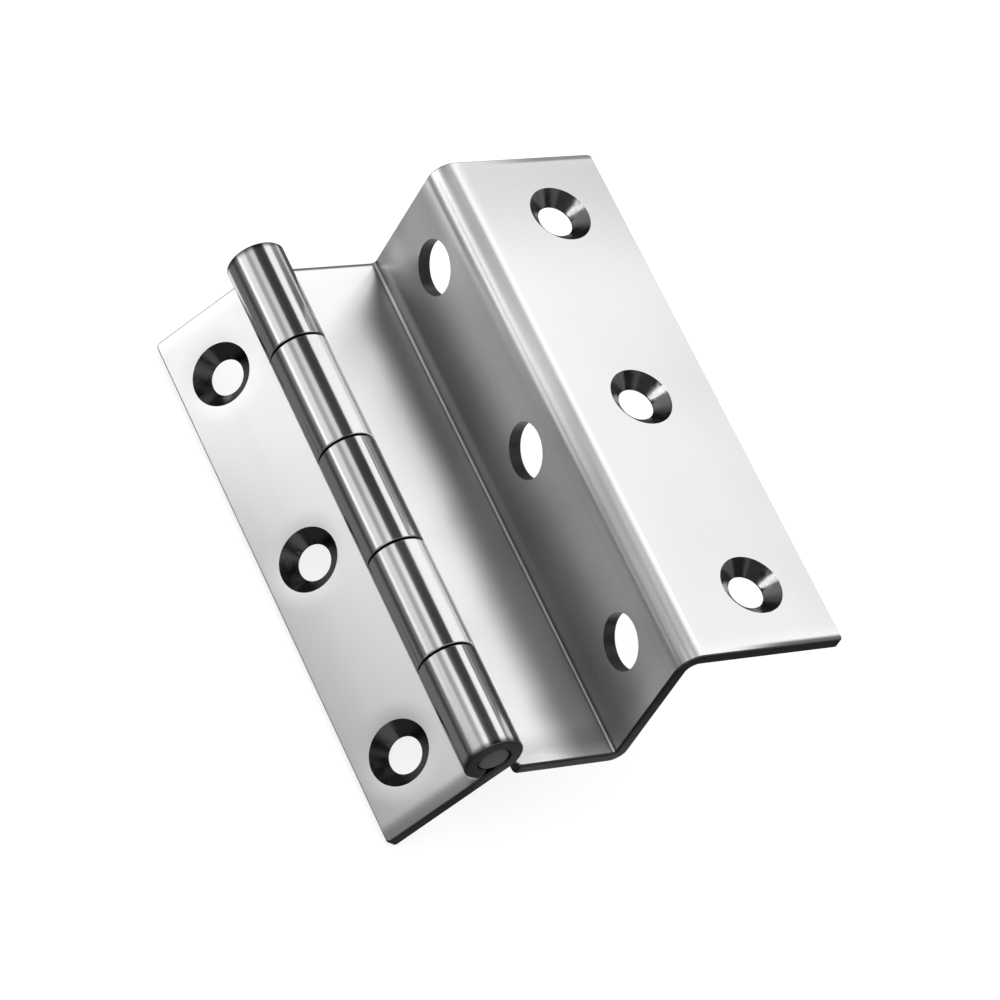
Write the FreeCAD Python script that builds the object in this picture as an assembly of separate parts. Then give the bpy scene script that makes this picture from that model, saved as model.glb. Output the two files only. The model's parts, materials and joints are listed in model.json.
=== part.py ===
import FreeCAD
import Part

import math
import os

# Cranked butt hinge of folded steel sheet, in millimetres.
# The pin lies along Y, the flange is level and its screw heads face +Z. The origin
# is midway between the flange's two end screws, on the face that the flange seats on.

# Sheet and overall length
hinge_length = 100.0
sheet_thickness = 2.25
sheet_corner_radius = 0.8
sheet_edge_chamfer = 0.3

# Pin and knuckles
pin_radius = 2.7
pin_running_clearance = 0.05
pin_end_recess = 0.15
pin_end_chamfer = 0.3
knuckle_count = 5
end_knuckle_length = 18.9
knuckle_gap = 0.3
knuckle_rim_chamfer = 0.25
curl_lip_gap = 0.25
notch_clearance = 0.9

# Cranked leaf: inner section beside the pin, upright web, level flange
inner_section_reach = 24.5
crank_offset = 25.75
flange_width = 31.0
fold_inside_radius = 0.5
crank_inside_radius = 1.7

# Flat leaf
folding_clearance = 1.25

# Countersunk screw holes of the flange and the flat leaf
screw_hole_radius = 3.1
screw_hole_land = 0.25
countersink_half_angle = 50.0
hole_end_distance = 12.1
flange_hole_edge_distance = 12.0
flange_middle_hole_offset = 2.5
flat_hole_edge_distance = 8.35

# Plain holes of the web, high enough for a screwdriver to pass over the barrel
web_hole_radius = 4.75
driver_clearance = 1.0

# Angle of the flat leaf past the flat position, at rest
rest_angle = 58.0

# Sizes that follow
bore_radius = pin_radius + pin_running_clearance
barrel_radius = bore_radius + sheet_thickness
notch_reach = barrel_radius + notch_clearance
flat_leaf_reach = inner_section_reach - folding_clearance
half_length = hinge_length / 2
hole_pitch = half_length - hole_end_distance
lip_angle = math.asin((bore_radius - curl_lip_gap) / barrel_radius)
inner_knuckle_length = (
    hinge_length - 2 * end_knuckle_length - (knuckle_count - 1) * knuckle_gap
) / (knuckle_count - 2)

# Place of the pin's axis in the part's frame
flange_hole_x_from_pin = inner_section_reach + flange_width - flange_hole_edge_distance
flange_seat_z_from_pin = crank_offset - barrel_radius
pin_x = -flange_hole_x_from_pin
pin_z = -flange_seat_z_from_pin

# How far cutters run past the faces they open, and how closely edges are picked
cutter_overrun = 1.0
pick_tolerance = 1e-6

PIN_AXIS_POINT = FreeCAD.Vector(0, 0, 0)
X_AXIS = FreeCAD.Vector(1, 0, 0)
Y_AXIS = FreeCAD.Vector(0, 1, 0)


def section_point(x, z):
    """A point of a sheet's section, measured from the pin's axis."""
    return FreeCAD.Vector(x, -half_length, z)


def round_point(radius, angle):
    """A section point at a radius and an angle (radians) round the pin's axis."""
    return section_point(radius * math.cos(angle), radius * math.sin(angle))


def line(start, end):
    """A straight edge of a section."""
    return Part.LineSegment(start, end).toShape()


def arc(start, through, end):
    """A round edge of a section."""
    return Part.Arc(start, through, end).toShape()


def quarter_arc(centre_x, centre_z, radius, start_angle, end_angle):
    """A quarter round of a bend, between two angles in degrees."""
    points = []
    for angle in (start_angle, (start_angle + end_angle) / 2, end_angle):
        turn = math.radians(angle)
        x = centre_x + radius * math.cos(turn)
        z = centre_z + radius * math.sin(turn)
        points.append(section_point(x, z))
    return arc(*points)


def curl_edges():
    """The curl of a leaf that lies on the pin's +X side.

    It leaves the leaf's underside below the pin, rolls up on the -X side, over the
    pin and down to a lip that stands just clear of its own leaf.
    """
    under = -math.pi / 2
    side = -math.pi
    over = math.pi / 2
    shoulder = (over - lip_angle) / 2
    outer = [round_point(barrel_radius, angle) for angle in (under, side, over, shoulder, -lip_angle)]
    inner = [round_point(bore_radius, angle) for angle in (-lip_angle, shoulder, over, side, under)]
    return [
        arc(outer[0], outer[1], outer[2]),
        arc(outer[2], outer[3], outer[4]),
        line(outer[4], inner[0]),
        arc(inner[0], inner[1], inner[2]),
        arc(inner[2], inner[3], inner[4]),
    ]


def flat_sheet_edges(reach):
    """The straight part of the flat leaf, from the bore to its free edge and back."""
    return [
        line(section_point(0, -bore_radius), section_point(reach, -bore_radius)),
        line(section_point(reach, -bore_radius), section_point(reach, -barrel_radius)),
        line(section_point(reach, -barrel_radius), section_point(0, -barrel_radius)),
    ]


def cranked_sheet_edges():
    """Inner section, web and flange, along the upper faces and back below.

    The fold joins the inner section to the web, and the crank turns the web out
    into the flange.
    """
    web_inner = inner_section_reach
    web_outer = web_inner + sheet_thickness
    free_edge = web_inner + flange_width
    flange_bottom = flange_seat_z_from_pin
    flange_top = flange_bottom + sheet_thickness
    fold_x = web_inner - fold_inside_radius
    fold_z = -bore_radius + fold_inside_radius
    fold_outside_radius = fold_inside_radius + sheet_thickness
    crank_x = web_outer + crank_inside_radius
    crank_z = flange_bottom - crank_inside_radius
    crank_outside_radius = crank_inside_radius + sheet_thickness
    return [
        line(section_point(0, -bore_radius), section_point(fold_x, -bore_radius)),
        quarter_arc(fold_x, fold_z, fold_inside_radius, -90, 0),
        line(section_point(web_inner, fold_z), section_point(web_inner, crank_z)),
        quarter_arc(crank_x, crank_z, crank_outside_radius, 180, 90),
        line(section_point(crank_x, flange_top), section_point(free_edge, flange_top)),
        line(section_point(free_edge, flange_top), section_point(free_edge, flange_bottom)),
        line(section_point(free_edge, flange_bottom), section_point(crank_x, flange_bottom)),
        quarter_arc(crank_x, crank_z, crank_inside_radius, 90, 180),
        line(section_point(web_outer, crank_z), section_point(web_outer, fold_z)),
        quarter_arc(fold_x, fold_z, fold_outside_radius, 0, -90),
        line(section_point(fold_x, -barrel_radius), section_point(0, -barrel_radius)),
    ]


def folded_sheet(sheet_edges):
    """A leaf's section, curl included, drawn out over the hinge's whole length."""
    outline = Part.Wire(curl_edges() + sheet_edges)
    return Part.Face(outline).extrude(Y_AXIS * hinge_length)


def knuckle_spans():
    """Start and end along Y of each knuckle, from the -Y end."""
    spans = []
    start = -half_length
    for index in range(knuckle_count):
        at_end = index in (0, knuckle_count - 1)
        length = end_knuckle_length if at_end else inner_knuckle_length
        spans.append((start, start + length))
        start += length + knuckle_gap
    return spans


def cut_notches(sheet, spans_of_other_leaf):
    """Clear the barrel's space where the other leaf's knuckles turn."""
    reach = barrel_radius + cutter_overrun
    for start, end in spans_of_other_leaf:
        low = start - knuckle_gap
        high = end + knuckle_gap
        corner = FreeCAD.Vector(-reach, low, -reach)
        notch = Part.makeBox(reach + notch_reach, high - low, 2 * reach, corner)
        sheet = sheet.cut(notch)
    return sheet


def screw_hole_cutter():
    """A countersunk hole below its mouth at the origin, bored along -Z."""
    slope = math.tan(math.radians(countersink_half_angle))
    sink_depth = sheet_thickness - screw_hole_land
    mouth_radius = screw_hole_radius + (sink_depth + cutter_overrun) * slope
    drill_length = sheet_thickness + 2 * cutter_overrun
    drill_foot = FreeCAD.Vector(0, 0, -sheet_thickness - cutter_overrun)
    drill = Part.makeCylinder(screw_hole_radius, drill_length, drill_foot)
    sink_foot = FreeCAD.Vector(0, 0, -sink_depth)
    sink = Part.makeCone(screw_hole_radius, mouth_radius, sink_depth + cutter_overrun, sink_foot)
    return drill.fuse(sink)


def cut_screw_holes(sheet, places):
    """Cut a countersunk hole with its mouth at each place."""
    for place in places:
        cutter = screw_hole_cutter()
        cutter.translate(place)
        sheet = sheet.cut(cutter)
    return sheet


def cut_web_holes(sheet):
    """Three plain holes through the web, in line."""
    height = barrel_radius + driver_clearance + web_hole_radius
    start_x = inner_section_reach - cutter_overrun
    depth = sheet_thickness + 2 * cutter_overrun
    for y in (-hole_pitch, 0, hole_pitch):
        foot = FreeCAD.Vector(start_x, y, height)
        sheet = sheet.cut(Part.makeCylinder(web_hole_radius, depth, foot, X_AXIS))
    return sheet


def is_same(value, wanted):
    """Whether two lengths agree."""
    return abs(value - wanted) < pick_tolerance


def is_at_hinge_end(edge):
    """Whether an edge lies in the plane of one of the hinge's two ends."""
    box = edge.BoundBox
    return is_same(abs(box.YMin), half_length) and is_same(box.YLength, 0)


def is_end_corner(edge, reach):
    """Whether an edge crosses the sheet at a hinge end, at a distance from the pin."""
    box = edge.BoundBox
    return is_at_hinge_end(edge) and is_same(box.XMin, reach) and is_same(box.XMax, reach)


def round_end_corners(sheet, reach):
    """Round a leaf's corners at both hinge ends, at a distance from the pin, seen from above."""
    corners = [edge for edge in sheet.Edges if is_end_corner(edge, reach)]
    return sheet.makeFillet(sheet_corner_radius, corners)


def is_end_outline(edge):
    """Whether an edge runs along a face of the sheet at one of the hinge's ends."""
    crosses_sheet = isinstance(edge.Curve, Part.Line) and is_same(edge.Length, sheet_thickness)
    return is_at_hinge_end(edge) and not crosses_sheet


def is_seam_rim(edge):
    """Whether an edge is the outer round of a knuckle where it meets the next."""
    curve = edge.Curve
    if not isinstance(curve, Part.Circle):
        return False
    on_pin_axis = is_same(math.hypot(curve.Center.x, curve.Center.z), 0)
    on_outside = is_same(curve.Radius, barrel_radius)
    return on_pin_axis and on_outside and not is_at_hinge_end(edge)


def break_sheet_edges(sheet):
    """Chamfer the knuckles' rims at the seams, and the sheet's outline on both faces.

    The rims come first, because the outline's chamfer leaves rounds of the same size
    as they are.
    """
    rims = [edge for edge in sheet.Edges if is_seam_rim(edge)]
    sheet = sheet.makeChamfer(knuckle_rim_chamfer, rims)
    outline = [edge for edge in sheet.Edges if is_end_outline(edge)]
    return sheet.makeChamfer(sheet_edge_chamfer, outline)


def make_cranked_leaf(spans):
    """Folded leaf with the even knuckles, round the corner of a frame."""
    leaf = folded_sheet(cranked_sheet_edges())
    leaf = cut_notches(leaf, spans[0::2])
    mouth_z = flange_seat_z_from_pin + sheet_thickness
    end_line = flange_hole_x_from_pin
    middle_line = end_line - flange_middle_hole_offset
    places = [
        FreeCAD.Vector(end_line, -hole_pitch, mouth_z),
        FreeCAD.Vector(middle_line, 0, mouth_z),
        FreeCAD.Vector(end_line, hole_pitch, mouth_z),
    ]
    leaf = cut_screw_holes(leaf, places)
    leaf = cut_web_holes(leaf)
    leaf = round_end_corners(leaf, inner_section_reach + flange_width)
    leaf = round_end_corners(leaf, notch_reach)
    return break_sheet_edges(leaf)


def make_flat_leaf(spans):
    """Flat leaf with the odd knuckles, turned to its rest position."""
    leaf = folded_sheet(flat_sheet_edges(flat_leaf_reach))
    leaf = cut_notches(leaf, spans[1::2])
    hole_x = flat_leaf_reach - flat_hole_edge_distance
    places = [FreeCAD.Vector(hole_x, y, -bore_radius) for y in (-hole_pitch, 0, hole_pitch)]
    leaf = cut_screw_holes(leaf, places)
    leaf = round_end_corners(leaf, flat_leaf_reach)
    leaf = break_sheet_edges(leaf)
    leaf = leaf.mirror(PIN_AXIS_POINT, X_AXIS)
    leaf.rotate(PIN_AXIS_POINT, Y_AXIS, -rest_angle)
    return leaf


def make_pin():
    """Plain pin, just inside the end knuckles, with both ends chamfered."""
    length = hinge_length - 2 * pin_end_recess
    foot = FreeCAD.Vector(0, -length / 2, 0)
    pin = Part.makeCylinder(pin_radius, length, foot, Y_AXIS)
    rims = [edge for edge in pin.Edges if edge.isClosed() and isinstance(edge.Curve, Part.Circle)]
    return pin.makeChamfer(pin_end_chamfer, rims)


def export(shape, node):
    """Move a piece from the pin's axis to the part's frame and write it."""
    placed = shape.copy()
    placed.translate(FreeCAD.Vector(pin_x, 0, pin_z))
    placed.Solids[0].exportStep("parts/" + node + ".step")


os.makedirs("parts", exist_ok=True)
all_spans = knuckle_spans()
export(make_cranked_leaf(all_spans), "cranked_leaf")
export(make_flat_leaf(all_spans), "flat_leaf")
export(make_pin(), "hinge_pin")
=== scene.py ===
"""Cranked butt hinge of folded stainless sheet, dressed and lit for its studio picture."""

import json
import logging
import math
from dataclasses import dataclass
from enum import Enum
from functools import cached_property

import bmesh
import bpy
from mathutils import Matrix, Vector

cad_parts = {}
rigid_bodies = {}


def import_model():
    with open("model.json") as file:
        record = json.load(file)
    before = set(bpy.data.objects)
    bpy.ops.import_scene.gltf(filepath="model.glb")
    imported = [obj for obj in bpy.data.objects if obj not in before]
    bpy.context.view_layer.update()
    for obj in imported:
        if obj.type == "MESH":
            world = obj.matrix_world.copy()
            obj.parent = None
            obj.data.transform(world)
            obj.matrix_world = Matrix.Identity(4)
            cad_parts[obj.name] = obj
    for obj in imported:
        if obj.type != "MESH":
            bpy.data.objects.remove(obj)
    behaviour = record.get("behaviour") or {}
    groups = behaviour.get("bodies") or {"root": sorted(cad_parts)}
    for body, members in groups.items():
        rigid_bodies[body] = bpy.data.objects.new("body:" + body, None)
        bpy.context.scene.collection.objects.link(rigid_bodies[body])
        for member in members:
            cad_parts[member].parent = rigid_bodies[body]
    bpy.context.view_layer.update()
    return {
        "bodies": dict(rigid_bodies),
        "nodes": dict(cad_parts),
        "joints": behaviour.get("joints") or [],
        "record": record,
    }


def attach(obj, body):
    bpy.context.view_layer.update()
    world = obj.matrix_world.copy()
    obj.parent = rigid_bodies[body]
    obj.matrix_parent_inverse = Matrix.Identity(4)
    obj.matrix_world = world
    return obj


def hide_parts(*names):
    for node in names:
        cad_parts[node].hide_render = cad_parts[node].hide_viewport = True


Face = bmesh.types.BMFace
Socket = bpy.types.NodeSocket
Pair = tuple[float, float]
Triple = tuple[float, float, float]
Colour = tuple[float, float, float, float]

log = logging.getLogger("hinge")

# Units of length and angle
MM = 0.001
DEGREE = math.radians(1.0)

# Sizes that several pieces or finishes share, in millimetres, and the flat leaf's angle past flat
HALF_LENGTH = 50.0
THICKNESS = 2.25
BARREL_RADIUS = 5.0
HOLE_PITCH = 37.9
HOLE_REACH = 14.9
MOUTH_RADIUS = 5.48
LEAN = 58.0

ALONG = Vector((0.0, 1.0, 0.0))
UP = Vector((0.0, 0.0, 1.0))
LEAF_AWAY = Vector((math.cos((180.0 + LEAN) * DEGREE), 0.0, math.sin((180.0 + LEAN) * DEGREE)))


@dataclass(frozen=True)
class Line:
    """A line along Y, in millimetres."""

    x: float
    z: float

    def offset(self, point: Vector) -> Vector:
        """How a point in metres stands off the line, in millimetres."""
        return Vector((point.x / MM - self.x, 0.0, point.z / MM - self.z))


PIN_AXIS = Line(-43.5, -20.75)
BEND_CORNER = Line(-18.0, 0.0)
MIDDLE = Line(-20.0, -12.0)


class Surface(Enum):
    """How a face of a piece was made, which decides its finish."""

    ROLLED = 0
    SHEARED = 1
    COUNTERSUNK = 2
    CURLED = 3
    TIGHT_CURL = 4
    DISHED = 5
    PIN_SIDE = 6
    PIN_END = 7


@dataclass(frozen=True)
class Countersink:
    """One countersunk screw hole, in millimetres. Its axis runs out of its mouth.

    A face between the two depths belongs to its wall, and may lie outside it by the slack.
    """

    mouth: Vector
    axis: Vector
    depths: Pair = (0.001, 2.3)
    slack: float = 0.02

    def radius_at(self, point: Vector) -> float:
        """Distance of a point in metres from the hole's axis, in millimetres."""
        offset = point / MM - self.mouth
        return (offset - self.axis * offset.dot(self.axis)).length

    def holds(self, centre: Vector) -> bool:
        """Whether a face's centre lies in the hole's wall.

        Args:
            centre: The centre, in metres.

        Returns:
            True for a face of the wall.
        """
        along = (centre / MM - self.mouth).dot(self.axis)
        inside = self.radius_at(centre) < MOUTH_RADIUS + self.slack
        return inside and self.depths[0] < -along < self.depths[1]


class Nodes:
    """Adds and wires nodes in one tree."""

    spacing = 180.0

    def __init__(self, tree: bpy.types.NodeTree) -> None:
        """Take over a material's, group's or world's tree and clear it."""
        self.tree = tree
        tree.nodes.clear()

    def add(self, kind: str, inputs: dict | None = None, **settings: object) -> bpy.types.Node:
        """Add a node, set it up and wire it.

        Args:
            kind: The node's type name without the ShaderNode prefix.
            inputs: Socket name or index to a number, a colour, a Value or an output socket.
            settings: Properties of the node itself.

        Returns:
            The new node.
        """
        node = self.tree.nodes.new(kind if kind.startswith("Node") else "ShaderNode" + kind)
        node.location = (self.spacing * len(self.tree.nodes), 0.0)
        for key, value in settings.items():
            setattr(node, key, value)
        for key, value in (inputs or {}).items():
            given = value.socket if isinstance(value, Value) else value
            if isinstance(given, Socket):
                self.tree.links.new(given, node.inputs[key])
            else:
                node.inputs[key].default_value = given
        return node

    def math(self, operation: str, *values: object) -> "Value":
        """A Math node's result for numbers or values."""
        return Value(self, self.add("Math", dict(enumerate(values)), operation=operation).outputs[0])

    def noise(self, vector: object, scale: object, detail: float, roughness: float = 0.5) -> "Value":
        """A noise texture's value."""
        inputs = {"Vector": vector, "Scale": scale, "Detail": detail, "Roughness": roughness}
        return Value(self, self.add("TexNoise", inputs).outputs["Fac"])

    def bump(self, height: object, strength: float = 1.0, distance: float = 1.0, **over: Socket) -> Socket:
        """A normal bent by a height, over the Normal that may be given."""
        inputs = {"Height": height, "Strength": strength, "Distance": distance, **over}
        return self.add("Bump", inputs).outputs["Normal"]


@dataclass(frozen=True)
class Value:
    """A number that changes over the surface. Arithmetic on it adds Math nodes."""

    nodes: Nodes
    socket: Socket

    def __add__(self, other: "Value | float") -> "Value":
        """The sum."""
        return self.nodes.math("ADD", self, other)

    def __sub__(self, other: "Value | float") -> "Value":
        """The value less another."""
        return self.nodes.math("SUBTRACT", self, other)

    def __rsub__(self, other: float) -> "Value":
        """A number less the value."""
        return self.nodes.math("SUBTRACT", other, self)

    def __mul__(self, other: "Value | float") -> "Value":
        """The product."""
        return self.nodes.math("MULTIPLY", self, other)

    def __truediv__(self, other: "Value | float") -> "Value":
        """The quotient."""
        return self.nodes.math("DIVIDE", self, other)

    def __abs__(self) -> "Value":
        """The value without its sign."""
        return self.nodes.math("ABSOLUTE", self)

    __radd__ = __add__
    __rmul__ = __mul__

    def remap(
        self, low: float, high: float, to_low: object, to_high: object, how: str = "SMOOTHSTEP"
    ) -> "Value":
        """The value mapped from one span to another, and held at their ends."""
        inputs = {"Value": self, "From Min": low, "From Max": high, "To Min": to_low, "To Max": to_high}
        return Value(self.nodes, self.nodes.add("MapRange", inputs, interpolation_type=how).outputs[0])

    def blend(self, low: object, high: object) -> "Value":
        """One value where this mask is 0, another where it is 1."""
        return self.remap(0.0, 1.0, low, high)


Marks = tuple[Value, Value, Value]


@dataclass(frozen=True)
class Ramp:
    """A smooth change from one value to another.

    Attributes:
        start: Where it starts, in millimetres or degrees.
        end: Where it ends.
        low: Value up to the start.
        high: Value from the end on.
    """

    start: float
    end: float
    low: float = 0.0
    high: float = 1.0

    def over(self, place: Value, unit: float = MM) -> Value:
        """The value at a place or an angle."""
        return place.remap(self.start * unit, self.end * unit, self.low, self.high)


class Spot:
    """A spot of a surface: where it lies in the part, in metres, and its material's nodes."""

    def __init__(self, nodes: Nodes) -> None:
        """Read Object coordinates.

        Args:
            nodes: The nodes of the surface's material.
        """
        self.nodes = nodes
        self.place = nodes.add("TexCoord").outputs["Object"]
        parts = nodes.add("SeparateXYZ", {"Vector": self.place}).outputs
        self.x, self.y, self.z = (Value(nodes, part) for part in parts)

    def offset(self, line: Line) -> tuple[Value, Value]:
        """How the spot stands off a line, along X and along Z."""
        return self.x - line.x * MM, self.z - line.z * MM

    def angle(self, line: Line) -> Value:
        """Angle of the spot round a line, from +X towards +Z, in radians."""
        across, up = self.offset(line)
        return self.nodes.math("ARCTAN2", up, across)

    def distance(self, line: Line, squeeze: Pair = (1.0, 1.0)) -> Value:
        """Distance from a line, with factors on its parts along X and along Z."""
        across, up = (away * factor for away, factor in zip(self.offset(line), squeeze))
        return self.nodes.math("SQRT", across * across + up * up)


class EffectGroup:
    """Base of the shader groups that more than one finish uses.

    A group takes a place as its Vector and the numbers in inputs, and puts out masks.
    """

    title = "effect"
    inputs: dict[str, float] = {}
    outputs: tuple[str, ...] = ()

    def tree(self) -> bpy.types.NodeTree:
        """The group, built the first time it is asked for.

        Returns:
            The node group.
        """
        found = bpy.data.node_groups.get(self.title)
        if found:
            return found
        made = bpy.data.node_groups.new(self.title, "ShaderNodeTree")
        made.interface.new_socket(name="Vector", in_out="INPUT", socket_type="NodeSocketVector")
        for name, value in self.inputs.items():
            socket = made.interface.new_socket(name=name, in_out="INPUT", socket_type="NodeSocketFloat")
            socket.default_value = value
        for name in self.outputs:
            made.interface.new_socket(name=name, in_out="OUTPUT", socket_type="NodeSocketFloat")
        nodes = Nodes(made)
        masks = self.masks(nodes, nodes.add("NodeGroupInput").outputs)
        nodes.add("NodeGroupOutput", dict(zip(self.outputs, masks)))
        return made

    def masks(self, nodes: Nodes, given: bpy.types.NodeOutputs) -> tuple[Value, ...]:
        """The masks that the group puts out.

        Args:
            nodes: The group's nodes.
            given: What it takes.

        Returns:
            One mask for each output.
        """
        raise NotImplementedError

    def put(self, spot: Spot, values: dict[str, float]) -> list[Value]:
        """The group's masks in a material that gives it its own numbers."""
        node = spot.nodes.add("Group", {"Vector": spot.place, **values}, node_tree=self.tree())
        return [Value(spot.nodes, socket) for socket in node.outputs]


class SheetGrain(EffectGroup):
    """Fine polishing lines along the sheet, and the slight waviness of rolled metal."""

    title = "sheet_grain"
    inputs = {"Line Scale": 900.0, "Stretch": 0.02, "Wave Scale": 60.0}
    outputs = ("Lines", "Waves")

    def masks(self, nodes: Nodes, given: bpy.types.NodeOutputs) -> tuple[Value, ...]:
        """The lines' mask and the waves' height.

        Args:
            nodes: The group's nodes.
            given: What it takes.

        Returns:
            Both masks.
        """
        parts = nodes.add("SeparateXYZ", {"Vector": given["Vector"]}).outputs
        along = nodes.math("MULTIPLY", parts["Y"], given["Stretch"])
        pressed = nodes.add("CombineXYZ", {"X": parts["X"], "Y": along, "Z": parts["Z"]}).outputs[0]
        lines = nodes.noise(pressed, given["Line Scale"], 3.0, 0.6)
        return lines, nodes.noise(given["Vector"], given["Wave Scale"], 1.0, 0.4)


class Scuffs(EffectGroup):
    """Short fine scuffs in two directions, thin and sparse."""

    title = "fine_scuffs"
    inputs = {"Scale": 140.0}
    outputs = ("Scuffs",)
    tilt = 0.3
    turns = (0.5, -0.9)
    stretch = (1.0, 0.06, 1.0)
    thin = (0.66, 0.74)

    def masks(self, nodes: Nodes, given: bpy.types.NodeOutputs) -> tuple[Value, ...]:
        """The scuffs' mask.

        Args:
            nodes: The group's nodes.
            given: What it takes.

        Returns:
            The one mask.
        """
        ways = []
        for turn in self.turns:
            inputs = {"Vector": given["Vector"], "Rotation": (self.tilt, turn, turn), "Scale": self.stretch}
            turned = nodes.add("Mapping", inputs).outputs[0]
            ways.append(nodes.noise(turned, given["Scale"], 2.0).remap(*self.thin, 0.0, 1.0))
        return (nodes.math("MAXIMUM", *ways),)


def as_colour(level: float) -> Colour:
    """A grey as a colour."""
    return (level, level, level, 1.0)


@dataclass(frozen=True)
class Finish:
    """A steel finish. Subclasses say what varies over the surface."""

    title: str = "steel"
    grey: float = 0.7
    roughness: float = 0.25

    def material(self) -> bpy.types.Material:
        """The finish's material, built the first time it is asked for.

        Returns:
            The Blender material.
        """
        found = bpy.data.materials.get(self.title)
        if found:
            return found
        made = bpy.data.materials.new(self.title)
        made.use_nodes = True
        made.diffuse_color = as_colour(self.grey)
        nodes = Nodes(made.node_tree)
        shader = nodes.add("BsdfPrincipled", {"Metallic": 1.0, **self.looks(Spot(nodes))})
        nodes.add("OutputMaterial", {"Surface": shader.outputs[0]})
        return made

    def looks(self, spot: Spot) -> dict[str, object]:
        """The shader's inputs that vary over the surface, each with what is wired into it."""
        raise NotImplementedError


@dataclass(frozen=True)
class PaintedEndShade:
    """Painted shade beside the cut ends: widest on the flange and the knuckles.

    The first four ramps run over X and say where a shade holds, the others over the distance
    from an end.
    """

    before_web: Ramp = Ramp(-19.6, -19.3, 1.0, 0.0)
    past_bend: Ramp = Ramp(-17.0, -13.0)
    on_flange: Ramp = Ramp(-14.0, 4.0)
    free_edge: Ramp = Ramp(11.6, 11.9, 1.0, 0.7)
    near_end: Ramp = Ramp(1.2, 7.0, 0.66)
    far_end: Ramp = Ramp(0.55, 0.9, 0.16)
    near_flange: Ramp = Ramp(0.6, 1.3, 0.15)
    far_flange: Ramp = Ramp(0.8, 1.3, 0.4)
    far_fade: Ramp = Ramp(0.8, 30.0, 0.74)
    knuckle_rim: Ramp = Ramp(0.2, 1.4, 0.15)

    def over(self, spot: Spot, from_end: Value, knuckle: Value) -> Value:
        """The shade of a spot.

        Args:
            spot: The spot.
            from_end: Its distance from the nearer end.
            knuckle: 1 on the knuckles, 0 on the flats.

        Returns:
            A factor on the grey.
        """
        far = spot.nodes.math("GREATER_THAN", spot.y, 0.0)
        plain = far.blend(self.near_end.over(from_end), self.far_end.over(from_end))
        plain = self.before_web.over(spot.x).blend(1.0, plain)
        flange = far.blend(self.near_flange.over(from_end), self.far_flange.over(from_end))
        shade = self.on_flange.over(spot.x).blend(plain, flange)
        fade = far.blend(1.0, self.far_fade.over(from_end))
        shade = shade * self.past_bend.over(spot.x).blend(1.0, fade) * self.free_edge.over(spot.x)
        return knuckle.blend(shade, self.knuckle_rim.over(from_end))


@dataclass(frozen=True)
class PaintedFoldShade:
    """Painted shade round the inside of the fold, where shade falls in the channel.

    It is widest towards the near end and narrows to nothing at the far end. On the web a painted
    lighter strip, a painted reflection, runs along the fold, and its top has more painted shade at the far
    end.

    The ramps of the web run over X, those of its top and the strip over Z, and the top's shade,
    strip_ends and the others over Y.
    """

    fold: Line = Line(-19.0, -23.5)
    squeeze: Pair = (1.15, 0.6)
    starts: float = 4.0
    ends: float = 11.5
    darkest: Ramp = Ramp(-49.5, -45.0, 0.44, 0.37)
    widens: Ramp = Ramp(-20.0, 10.0, 1.3, 1.0)
    narrows: Ramp = Ramp(37.5, 49.5, 1.0, 0.08)
    web_starts: Ramp = Ramp(-19.4, -19.2)
    web_ends: Ramp = Ramp(-18.98, -18.6, 1.0, 0.0)
    top_starts: Ramp = Ramp(-18.0, -13.0)
    top_ends: Ramp = Ramp(-5.0, -2.0, 1.0, 0.0)
    painted_top_shade: Ramp = Ramp(34.0, 42.0, 0.0, 0.35)
    strip: Ramp = Ramp(-21.6, -20.3, 1.6, 0.0)
    strip_length: float = 90.0
    strip_ends: Ramp = Ramp(41.0, 48.0, 1.0, 0.1)

    def over(self, spot: Spot) -> Value:
        """The shade of a spot.

        Args:
            spot: The spot.

        Returns:
            A factor on the grey.
        """
        width = self.narrows.over(spot.y) * self.widens.over(spot.y)
        from_fold = spot.distance(self.fold, self.squeeze) / width
        shade = from_fold.remap(self.starts * MM, self.ends * MM, self.darkest.over(spot.y), 1.0)
        web = self.web_starts.over(spot.x) * self.web_ends.over(spot.x)
        top = self.top_starts.over(spot.z) * web * self.top_ends.over(spot.z)
        run = spot.y * (1.0 / (self.strip_length * MM)) + 0.5
        strip = run * run * (self.strip.over(spot.z) * web) * self.strip_ends.over(spot.y)
        return shade * (1.0 - top * self.painted_top_shade.over(spot.y)) * (1.0 + strip)


@dataclass(frozen=True)
class PaintedBendShade:
    """Painted shade and painted highlight on the bend: darker towards the near end and brighter towards the
    far one.

    bent runs over Z, the darkening and the brightening over Y, the other ramps over the angle round the
    centre, in degrees. The dip is a faint painted dark line at one angle.
    """

    centre: Line = Line(-15.05, -1.7)
    bent: Ramp = Ramp(-3.5, -1.5)
    dip_angle: float = 126.0
    dip: Ramp = Ramp(3.0, 12.0, 0.3, 0.0)
    shaded_starts: Ramp = Ramp(114.0, 128.0)
    shaded_ends: Ramp = Ramp(160.0, 172.0, 1.0, 0.0)
    shaded: Ramp = Ramp(-22.0, 8.0, 0.43, 0.0)
    bright_starts: Ramp = Ramp(136.0, 148.0)
    bright: Ramp = Ramp(-5.0, 25.0, 0.0, 0.33)

    def over(self, spot: Spot) -> Value:
        """The shade of a spot.

        Args:
            spot: The spot.

        Returns:
            A factor on the grey.
        """
        angle = abs(spot.angle(self.centre))
        dip = 1.0 - self.dip.over(abs(angle - self.dip_angle * DEGREE), DEGREE)
        # painted shade over some angles of the bend, painted highlight over others
        low = self.shaded_starts.over(angle, DEGREE) * self.shaded_ends.over(angle, DEGREE)
        high = self.bright_starts.over(angle, DEGREE)
        shade = (1.0 - low * self.shaded.over(spot.y)) * (1.0 + high * self.bright.over(spot.y))
        return self.bent.over(spot.z).blend(1.0, shade * dip)


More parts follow.
